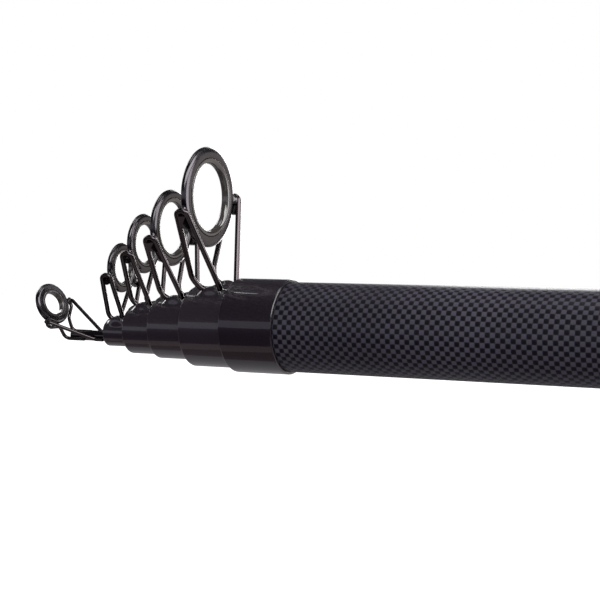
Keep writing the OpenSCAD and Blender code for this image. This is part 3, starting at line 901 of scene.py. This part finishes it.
@dataclass
class Section(Assembly):
    """A sliding section with its binding and its guide."""

    number: int  # from 2 to 5
    taper: float  # of its tube
    thick: float = 0.65  # thickness of the binding on the tube
    edge: float = 0.35  # rounding of the binding's outer edges
    cover: float = 0.7  # lacquer over a foot's wire
    spread: float = 2.2  # how far the lacquer runs out beside a foot
    run_out: float = 1.4  # how far it runs out beyond a foot's ends
    face: float = 0.3  # longest face along the binding
    steps: int = 192  # faces round the binding
    lip_share: float = 0.45  # rounding of the hole's edges, as a share of the insert's thickness
    lip_width_share: float = 0.7  # the most of it, as a share of the insert's radial width
    seam: float = 0.12  # rounding at the seam between insert and ring
    insert_rounds: int = 8  # faces round an edge of the insert
    insert_steps: int = 128  # faces round the insert
    rim: float = 1.0  # rounding of the solid ring's rim, at most
    rim_share: float = 0.45  # the most of it, as a share of the ring's thickness and radial width
    ridge: float = 0.35  # where the crown is highest, as a share of the way from the seam to the rim
    dip: float = 0.1  # how far the crown falls to the seam, as a share of half the thickness
    cuts: int = 6  # new rows of points across a side of the ring
    tube: Tube = field(init=False)
    guide: Guide = field(init=False)

    def __post_init__(self) -> None:
        """Read the section from the frame."""
        super().__post_init__()
        self.tube = Tube.read(f"blank_{self.number}", self.taper)
        self.guide = Guide(self.number, self.tube, GUIDES[self.number])

    def build(self) -> None:
        """Make the section's pieces."""
        bare = replace(BARE_CARBON, name=f"taped carbon tube {self.number}", axis_z=self.tube.axis_z)
        self.keep(f"blank_{self.number}", finish=bare)
        self.bind()
        self.bend_wires()
        self.turn_insert()
        self.crown_ring()

    def turn_insert(self) -> None:
        """Turn the hard insert, whose hole is rounded so that the line runs smoothly."""
        half, outer, hole = self.guide.insert_half, self.guide.insert_r, self.guide.size.hole
        lip = min(self.lip_share * 2 * half, self.lip_width_share * (outer - hole))
        bm = bmesh.new()
        outline = sleeve(-half, half, (hole, hole), outer, self.seam, lip)
        turn_outline(bm, outline, self.insert_steps, rounds=self.insert_rounds)
        made, node = f"turned_insert_{self.number}", f"guide_insert_{self.number}"
        self.hand_over(bm, made, node, self.guide.ring_placed())

    def crown_ring(self) -> None:
        """Crown the flat sides of the ring, on a copy of its solid."""
        made, node = f"crowned_ring_{self.number}", f"guide_ring_{self.number}"
        placed, rim = self.guide.ring_placed(), self.guide.ring_r
        seam = self.guide.insert_r + 2 * BOND
        width = rim - seam
        ridge = seam + self.ridge * width
        bm = bmesh.new()
        bm.from_mesh(self.frame["nodes"][node].data)
        bmesh.ops.remove_doubles(bm, verts=bm.verts[:], dist=MERGE * MM)
        bmesh.ops.transform(bm, matrix=Matrix.Scale(1 / MM, 4) @ placed.inverted(), verts=bm.verts[:])
        half = max(abs(v.co.x) for v in bm.verts if v.co.yz.length < ridge)
        rounding = min(self.rim, self.rim_share * min(2 * half, width))
        across = [
            e
            for e in bm.edges
            if all(half - abs(v.co.x) < FLAT for v in e.verts)
            and abs(e.verts[0].co.yz.length - e.verts[1].co.yz.length) > (width - rounding) / 2
        ]
        bmesh.ops.subdivide_edges(bm, edges=across, cuts=self.cuts)
        edge = half - rounding
        for vert in bm.verts:
            radius = vert.co.yz.length
            if radius > rim:
                continue
            past = max(radius - rim + rounding, 0.0)
            solid = edge + math.sqrt(rounding ** 2 - past ** 2)
            if radius > ridge:
                crown = edge + rounding * math.sqrt(1 - ((radius - ridge) / (rim - ridge)) ** 2)
            else:
                crown = half * (1 - self.dip * ((ridge - radius) / (ridge - seam)) ** 2)
            vert.co.x *= crown / solid
        self.hand_over(bm, made, node, placed @ Matrix.Scale(MM, 4))

    def bend_wires(self) -> None:
        """Bend the guide's two wire loops."""
        bm = bmesh.new()
        for side in Side:
            self.guide.loop(side).build(bm)
        made, node = f"bent_wires_{self.number}", f"guide_wires_{self.number}"
        self.hand_over(bm, made, node, self.guide.placed())

    def bind(self) -> None:
        """Turn the binding, and raise the lacquer where it flows over the guide's feet."""
        guide, tube = self.guide, self.tube
        outer = tube.mouth_r + self.thick
        rear = -guide.length
        bores = (tube.mouth_r - tube.taper * rear + BOND, tube.mouth_r + BOND)
        bm = bmesh.new()
        turn_outline(bm, sleeve(rear, 0.0, bores, outer, self.edge), self.steps, fine=self.face)
        for vert in bm.verts:
            place = vert.co / MM
            radius = math.hypot(place.y, place.z)
            share = (radius - tube.mouth_r - BOND) / (self.thick - BOND)
            lift = self.lift(place.x, math.atan2(place.y, place.z), outer) * min(max(share, 0.0), 1.0)
            vert.co.yz *= (radius + lift) / radius
        self.hand_over(bm, f"binding_{self.number}", f"wrap_{self.number}", guide.placed())

    def lift(self, x: float, angle: float, outer: float) -> float:
        """Give how far the lacquer stands up over the guide's feet.

        Args:
            x: Place along the section, from its mouth.
            angle: Angle from the top of the tube, in radians.
            outer: Radius of the plain binding.

        Returns:
            The height over the plain binding.
        """
        size = self.guide.size
        height = self.guide.foot_r + size.wire / 2 + self.cover - outer
        toe = -size.toe_back - size.toe_bend / 2
        heel = -self.guide.heel_back
        along = (x - (toe + heel) / 2) / ((toe - heel) / 2 + self.run_out)
        nearest = outer * abs(abs(angle) - math.radians(size.foot_angle)) / self.spread
        if abs(along) >= 1.0 or nearest >= 1.0:
            return 0.0
        return height * (1.0 - along ** 2) * (0.5 + 0.5 * math.cos(math.pi * nearest))


@dataclass
class TipTop(Assembly):
    """The solid tip section with the leaning ring on its end."""

    mouth: float  # place of the mouth that the tip comes out of
    wire: float = 0.95  # thickness of the wire
    ring_r: float = 5.45  # outer radius of the ring
    reach: float = 10.9  # distance of the tube's shoulder in front of the mouth
    tail: float = 4.2  # how far a wire's end lies behind it
    foot_ahead: float = 1.7  # distance of the first bend in front of it
    knee: tuple[float, float, float] = (0.3, 0.45, 3.8)  # second bend: ahead of the first, out and up
    arm_back: float = 1.5  # distance of the third bend behind the ring's centre
    arm_drop: float = 3.8  # its distance below that centre
    eye_out: float = 1.15  # distance of the fourth bend outside the ring
    eye_drop: float = 0.6  # its distance below the ring's centre
    strut_start: float = 3.4  # distance of the fifth bend in front of the mouth
    strut_end: float = 1.0  # distance of the strut's end in front of the mouth
    bends: tuple[float, ...] = (1.5, 1.4, 1.5, 0.72, 2.0)  # the bends' radii
    axis_z: float = field(init=False)  # height of the tip's axis
    tube_r: float = field(init=False)  # radius of the tube on the tip's end
    turn: float = field(init=False)  # angle of the ring round the tip, in radians
    ring_x: float = field(init=False)  # distance of the ring's centre in front of the mouth
    ring_h: float = field(init=False)  # height of the ring's centre over the axis

    def __post_init__(self) -> None:
        """Read the tip-top from the frame."""
        super().__post_init__()
        low, high = box_mm("tip_blank")
        self.axis_z = (low.z + high.z) / 2
        low, high = box_mm("tip_tube")
        self.tube_r = (high.y - low.y) / 2
        low, high = box_mm("tip_insert")
        centre = (low + high) / 2
        self.turn = math.atan2(centre.y, centre.z - self.axis_z)
        self.ring_x = centre.x - self.mouth
        self.ring_h = math.hypot(centre.y, centre.z - self.axis_z)

    def corners(self, side: Side) -> list[Vector]:
        """Lay out one wire, from the tube round the ring and back down its strut.

        Args:
            side: The side of the rod that it lies on.

        Returns:
            The wire's corners, in the tip's own frame.
        """
        flank = self.tube_r + BOND + self.wire / 2
        foot = self.reach + self.foot_ahead
        ahead, out, up = self.knee
        return [
            Vector((self.reach - self.tail, side * flank, 0.0)),
            Vector((foot, side * flank, 0.0)),
            Vector((foot + ahead, side * (flank + out), up)),
            Vector((self.ring_x - self.arm_back, side * self.ring_r, self.ring_h - self.arm_drop)),
            Vector((self.ring_x, side * (self.ring_r + self.eye_out), self.ring_h - self.eye_drop)),
            Vector((self.strut_start, side * flank, 0.0)),
            Vector((self.strut_end, side * flank, 0.0)),
        ]

    def build(self) -> None:
        """Make the tip's pieces."""
        self.keep("tip_blank", finish=replace(BARE_CARBON, name="taped solid carbon", axis_z=self.axis_z))
        self.keep("tip_tube", "tip_ring", "tip_insert")
        bm = bmesh.new()
        for side in Side:
            BentWire(self.corners(side), self.bends, self.wire).build(bm)
        shift = Matrix.Translation(Vector((self.mouth, 0.0, self.axis_z)) * MM)
        self.hand_over(bm, "tip_bent_wires", "tip_wires", shift @ Matrix.Rotation(-self.turn, 4, "X"))


@dataclass
class Butt(Assembly):
    """The butt section: tube, binding, grip, reel seat and screw cap."""

    taper: float = 0.0013  # growth of the tube's radius per millimetre towards the butt end
    grip_round: float = 2.4  # rounding of the grip's ends
    grip_rounds: int = 8  # faces round each of them
    seat_flat: float = 12.1823  # height of the flat that the reel's foot lies on
    seat_pitch: float = 2.0  # pitch of the lock nut's thread
    seat_groove: float = 0.55  # depth of that thread
    cap_thread_r: float = 12.9174  # radius of the ferrule's thread
    cap_pitch: float = 1.5  # pitch of the butt cap's thread
    cap_groove: float = 0.45  # depth of that thread
    flange_rear: float = 25.5  # rear face of the ferrule's flange
    flange_round: float = 0.6  # rounding of the flange
    cushion_round: float = 0.8  # rounding of the cushion in the cap
    steps: int = 128  # faces round a turned piece
    tube: Tube = field(init=False)

    def __post_init__(self) -> None:
        """Read the butt tube from the frame."""
        super().__post_init__()
        self.tube = Tube.read("butt_blank", self.taper)

    def build(self) -> None:
        """Make the butt's pieces."""
        self.keep("butt_blank", "fixed_hood", "moving_hood", "lock_nut", "winding_check")
        self.keep("butt_wrap", finish=THICK_LACQUER)
        self.keep("butt_cap", "cap_bumper", "cap_seal")
        self.grip()
        self.seat()
        self.ferrule()
        self.cushion()

    def span(self, node: str) -> tuple[float, float, float]:
        """Read from a node's box where it starts, where it ends, and its outer radius."""
        low, high = box_mm(node)
        return low.x, high.x, (high.y - low.y) / 2

    def bore(self, x: float) -> float:
        """Give the radius of a hole that is glued on the tube at a place."""
        return self.tube.radius(x) + BOND

    def grip(self) -> None:
        """Turn the foam grip."""
        start, stop, radius = self.span("rear_grip")
        bm = bmesh.new()
        outline = sleeve(start, stop, (self.bore(start), self.bore(stop)), radius, self.grip_round)
        turn_outline(bm, outline, self.steps, rounds=self.grip_rounds)
        piece = self.hand_over(bm, "grip_foam", "rear_grip")

    def seat(self) -> None:
        """Cut the reel seat: a plain rear half, a threaded front half, and the flat for the reel's foot."""
        start, stop, radius = self.span("seat_body")
        middle, bore = self.span("moving_hood")[0], self.bore(start)
        bm = bmesh.new()
        ThreadedSleeve(middle, stop, radius, bore, self.seat_pitch, self.seat_groove).build(bm)
        cut_flat(bm, bm.faces[:], self.seat_flat)
        threaded = set(bm.faces)
        turn_outline(bm, sleeve(start, middle, (bore, bore), radius), self.steps)
        cut_flat(bm, [f for f in bm.faces if f not in threaded], self.seat_flat)
        self.hand_over(bm, "seat_threaded", "seat_body")

    def ferrule(self) -> None:
        """Cut the threaded ferrule that the cap screws over, with its flange."""
        start, stop, radius = self.span("butt_ferrule")
        flange, bore = self.flange_rear, self.bore(start)
        bm = bmesh.new()
        ThreadedSleeve(start, flange, self.cap_thread_r, bore, self.cap_pitch, self.cap_groove).build(bm)
        turn_outline(bm, sleeve(flange, stop, (bore, bore), radius, self.flange_round), self.steps)
        self.hand_over(bm, "ferrule_threaded", "butt_ferrule")

    def cushion(self) -> None:
        """Turn the foam disc in the cap."""
        start, stop, radius = self.span("cap_cushion")
        bm = bmesh.new()
        turn_outline(bm, sleeve(start, stop, (0.0, 0.0), radius, self.cushion_round), self.steps)
        bmesh.ops.remove_doubles(bm, verts=bm.verts[:], dist=MERGE * MM)
        piece = self.hand_over(bm, "cushion_foam", "cap_cushion")


@dataclass(frozen=True)
class SoftBox:
    """A soft studio lamp, with its places and sizes in metres and its power in watts."""

    name: str
    place: tuple[float, float, float]
    aim: tuple[float, float, float]  # where it points
    width: float
    height: float
    power: float
    in_reflections: bool  # whether reflections see it

    def build(self) -> None:
        """Hang the lamp."""
        data = bpy.data.lights.new(self.name, "AREA")
        data.shape = "RECTANGLE"
        data.size = self.width
        data.size_y = self.height
        data.energy = self.power
        lamp = bpy.data.objects.new(self.name, data)
        lamp.location = self.place
        lamp.rotation_mode = "QUATERNION"
        lamp.rotation_quaternion = (Vector(self.aim) - Vector(self.place)).to_track_quat("-Z", "Y")
        lamp.visible_glossy = self.in_reflections
        bpy.context.scene.collection.objects.link(lamp)


LAMPS: tuple[SoftBox, ...] = (
    SoftBox("key box", (0.9, 1.0, 1.1), (0.45, 0.0, 0.0), 1.2, 0.8, 3.0, False),
    SoftBox("strip box", (1.38, -0.215, 1.4), (0.73, -0.465, 0.0), 0.6, 0.02, 0.14, True),
)


@dataclass(frozen=True)
class Flag:
    """A studio cloth or light box round the rod that only reflections see."""

    name: str  # of the stage piece
    low: float  # elevation of its lower edge
    high: float  # elevation of its upper edge
    start: float  # direction of its first side edge, from X towards the camera's side
    stop: float  # direction of its second side edge, at most half a turn on, or a whole turn
    colour: str  # as sRGB hex
    glow: float  # its brightness, where white paper has one
    radius: float = 3.0  # its distance from the rod's front end, in metres
    centre_x: float = 0.5  # place of that end along X, in metres
    segments: int = 64  # faces round the sphere that it is cut from
    rings: int = 48  # faces from pole to pole of that sphere

    def build(self) -> BMesh:
        """Cut the cloth from a sphere round the rod's front end.

        Returns:
            Its mesh.
        """
        bm = bmesh.new()
        bmesh.ops.create_uvsphere(bm, u_segments=self.segments, v_segments=self.rings, radius=self.radius)
        cuts = [
            (Z_AXIS * self.radius * math.sin(math.radians(edge)), facing)
            for edge, facing in ((self.low, Z_AXIS), (self.high, -Z_AXIS))
        ]
        if self.stop - self.start < 360.0:
            for edge, inward in ((self.start, 90.0), (self.stop, -90.0)):
                facing = math.radians(edge + inward)
                cuts.append((ORIGIN, Vector((math.cos(facing), math.sin(facing), 0.0))))
        for place, facing in cuts:
            clear_behind(bm, place, facing)
        bmesh.ops.translate(bm, verts=bm.verts[:], vec=X_AXIS * self.centre_x)
        return bm


# The light boxes hang in front of the cloths
BOX_RADIUS = 2.6
FLAGS: tuple[Flag, ...] = (
    Flag("hood_flag", 12.0, 90.0, 0.0, 360.0, "#f3f0ff", 0.05),
    Flag("back_flag_right", -90.0, 12.0, 180.0, 270.0, "#fff6f2", 0.7),
    Flag("back_flag_left", -90.0, 12.0, 270.0, 360.0, "#fbf7fd", 0.36),
    Flag("front_screen", -3.0, 12.0, 0.0, 180.0, "#f0eeff", 0.58),
    Flag("front_cloth", -40.0, -3.0, 0.0, 180.0, "#f4e0ff", 0.03),
    Flag("table_edge", -52.0, -40.0, 0.0, 180.0, "#ffe6e8", 0.37),
    Flag("table_cloth", -90.0, -52.0, 0.0, 180.0, "#ffd8dc", 0.12),
    Flag("top_box", 24.0, 52.0, 105.0, 215.0, "#ffffff", 5.0, BOX_RADIUS),
    Flag("side_box", -10.0, 20.0, 185.0, 222.0, "#ffffff", 4.0, BOX_RADIUS),
    Flag("back_box", -12.0, 30.0, 268.0, 291.0, "#ffffff", 7.0, BOX_RADIUS),
    Flag("toe_box", 15.0, 42.0, 325.0, 352.0, "#ffffff", 5.0, BOX_RADIUS),
    Flag("zenith_box", 76.0, 90.0, 0.0, 360.0, "#ffffff", 3.0, BOX_RADIUS),
    Flag("low_box", -60.0, -20.0, 85.0, 150.0, "#ffffff", 0.35, BOX_RADIUS),
)


@dataclass(frozen=True)
class Studio:
    """Camera, floor, light, and the flags that the gloss of the rod reflects."""

    camera_place: tuple[float, float, float] = (367.07, 330.18, 22.26)
    camera_look: tuple[float, float, float] = (0.439, -0.8975, -0.0424)  # where it looks
    camera_up: tuple[float, float, float] = (0.0263, -0.0344, 0.9991)  # the picture's top
    view_angle: float = 22.382  # across the picture
    sensor: float = 36.0  # width of the camera's sensor
    clip_start: float = 0.01  # nearest distance that the camera sees, in metres
    floor_drop: float = 0.3  # depth under the rod's axis, in metres
    floor_size: float = 12.0  # in metres
    floor_colour: str = "#f2f2f2"
    floor_roughness: float = 0.9
    floor_glow: float = 0.5  # what it adds to its own light to show white
    sky: float = 1.0  # brightness of the room above
    ground: float = 0.22  # brightness of the room below

    def build(self) -> None:
        """Set the studio up."""
        bpy.context.scene.view_settings.view_transform = "Standard"
        self.camera()
        self.world()
        self.floor()
        self.flags()
        for lamp in LAMPS:
            lamp.build()

    def camera(self) -> None:
        """Put the camera where the photograph was taken from."""
        data = bpy.data.cameras.new("camera")
        data.sensor_width = self.sensor
        data.lens = self.sensor / 2 / math.tan(math.radians(self.view_angle) / 2)
        data.clip_start = self.clip_start
        look = Vector(self.camera_look).normalized()
        right = look.cross(Vector(self.camera_up)).normalized()
        turn = Matrix((right, right.cross(look), -look)).transposed().to_4x4()
        camera = bpy.data.objects.new("camera", data)
        camera.matrix_world = Matrix.Translation(Vector(self.camera_place) * MM) @ turn
        bpy.context.scene.collection.objects.link(camera)
        bpy.context.scene.camera = camera

    def seen(self, tree: NodeTree) -> NodeSocket:
        """Give one for rays that see the background: from the camera, in a reflection or through glass.

        Args:
            tree: The node tree of the world or of the floor.

        Returns:
            The socket.
        """
        rays = add_node(tree, "LightPath").outputs
        mirrored = {0: rays["Is Glossy Ray"], 1: rays["Is Transmission Ray"]}
        either = add_node(tree, "Math", mirrored, operation="MAXIMUM").outputs[0]
        return add_node(tree, "Math", {0: rays["Is Camera Ray"], 1: either}, operation="MAXIMUM").outputs[0]

    def world(self) -> None:
        """Light the room from above more than from below, and show it white."""
        world = bpy.data.worlds.new("studio")
        world.use_nodes = True
        tree = world.node_tree
        tree.nodes.clear()
        place = add_node(tree, "TexCoord").outputs["Generated"]
        height = add_node(tree, "SeparateXYZ", {"Vector": place}).outputs["Z"]
        fall = {"Value": height, "From Min": -1.0, "To Min": self.ground, "To Max": self.sky}
        strength = add_node(tree, "MapRange", fall).outputs[0]
        light = add_node(tree, "Background", {"Color": WHITE, "Strength": strength})
        white = add_node(tree, "Background", {"Color": WHITE, "Strength": 1.0})
        shown = {0: self.seen(tree), 1: light.outputs[0], 2: white.outputs[0]}
        mixed = add_node(tree, "MixShader", shown)
        add_node(tree, "OutputWorld", {"Surface": mixed.outputs[0]})
        bpy.context.scene.world = world

    def floor(self) -> None:
        """Lay the pale floor, which shows white and keeps its shadow."""
        bm = bmesh.new()
        bmesh.ops.create_grid(bm, x_segments=1, y_segments=1, size=self.floor_size / 2)
        bmesh.ops.translate(bm, verts=bm.verts[:], vec=-Z_AXIS * self.floor_drop)
        material = bpy.data.materials.new("pale floor")
        material.use_nodes = True
        tree = material.node_tree
        shader = tree.nodes["Principled BSDF"]
        shader.inputs["Base Color"].default_value = linear(self.floor_colour)
        shader.inputs["Roughness"].default_value = self.floor_roughness
        shader.inputs["Emission Color"].default_value = WHITE
        glow = {0: self.seen(tree), 1: self.floor_glow}
        add_node(tree, "Math", glow, shader.inputs["Emission Strength"], operation="MULTIPLY")
        piece = mesh_piece(bm, "floor", material)
        piece.visible_glossy = False
        piece.visible_diffuse = False

    def flags(self) -> None:
        """Hang the flags, which only reflections see."""
        for flag in FLAGS:
            cloth = bpy.data.materials.new(f"{flag.name} cloth")
            cloth.use_nodes = True
            tree = cloth.node_tree
            tree.nodes.clear()
            glow = add_node(tree, "Emission", {"Color": linear(flag.colour), "Strength": flag.glow})
            add_node(tree, "OutputMaterial", {"Surface": glow.outputs[0]})
            piece = mesh_piece(flag.build(), flag.name, cloth)
            for rays in ("camera", "diffuse", "transmission", "shadow"):
                setattr(piece, f"visible_{rays}", False)


def main() -> None:
    """Load the frame, set up the studio and dress the rod."""
    logging.basicConfig(level=logging.INFO, format="%(name)s: %(message)s")
    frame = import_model()
    Studio().build()
    paints = Paintbox()
    tapers = {j["child"]: j["axis"][2] / j["axis"][0] for j in frame["joints"] if j["type"] == "slide"}
    sections = [Section(frame, paints, number, tapers[f"section_{number}"]) for number in GUIDES]
    tip_top = TipTop(frame, paints, sections[-1].tube.front)
    for assembly in (Butt(frame, paints), *sections, tip_top):
        assembly.build()


if __name__ == "__main__":
    main()
